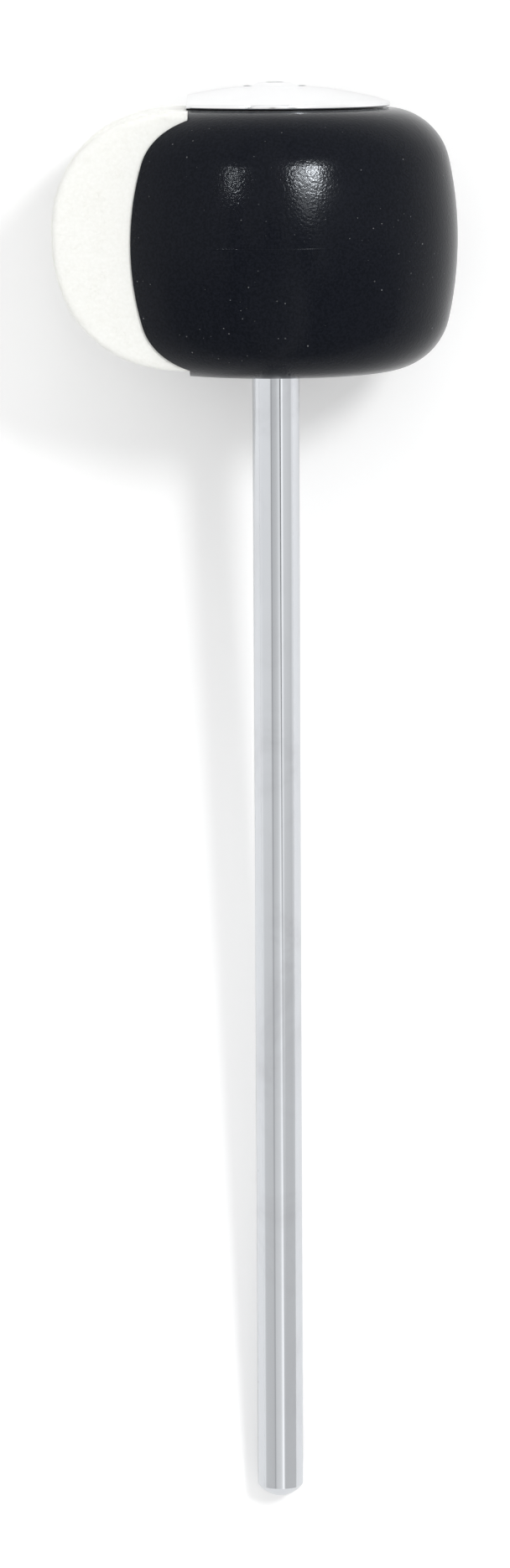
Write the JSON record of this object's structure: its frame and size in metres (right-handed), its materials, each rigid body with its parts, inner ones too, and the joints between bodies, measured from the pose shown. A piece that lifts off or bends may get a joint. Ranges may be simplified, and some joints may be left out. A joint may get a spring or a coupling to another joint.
{
  "type": "bass drum beater",
  "caption": "Pedal beater with a black barrel head, a half-round white felt striking block let into one side, a domed metal cap and a plain round clamping shaft.",
  "frame": {"origin": "on the shaft's axis, at the lower end of its straight wall, just above the rounded tip", "axes": "+Z along the shaft from the tip to the head, -X the way the felt faces, +X the hard face"},
  "size_m": [0.0679, 0.0618, 0.2472],
  "materials": {
    "shaft_chrome": "bright plated",
    "cap_chrome": "bright plated",
    "black_plastic": "satin, finely pebbled",
    "white_felt": "dense pressed felt",
    "plain_steel": "zinc plated",
    "spring_steel": "blackened"
  },
  "bodies": {
    "shaft": {"shaft": "shaft_chrome", "retaining_ring": "spring_steel", "base_washer": "plain_steel"},
    "head": {"head_body": "black_plastic", "core_bush": "plain_steel", "felt_block": "white_felt", "top_cap": "cap_chrome"},
    "screw_washer": {"lock_washer": "plain_steel"},
    "screw": {"cap_screw": "cap_chrome"}
  },
  "joints": [
    {"name": "head_swivel", "type": "hinge", "parent": "shaft", "child": "head", "pos_m": [0, 0, 0.21873], "axis": [0, 0, 1], "continuous": true},
    {"name": "screw_lift", "type": "slide", "parent": "shaft", "child": "screw_washer", "axis": [0, 0, 1], "range_m": [0, 0.0112]},
    {"name": "screw_turn", "type": "hinge", "parent": "screw_washer", "child": "screw", "pos_m": [0, 0, 0.2421], "axis": [0, 0, 1], "range_deg": [0, 5041]}
  ],
  "couplings": [
    {"joint": "screw_turn", "follows": "screw_lift", "rad_per_m": 7854}
  ]
}
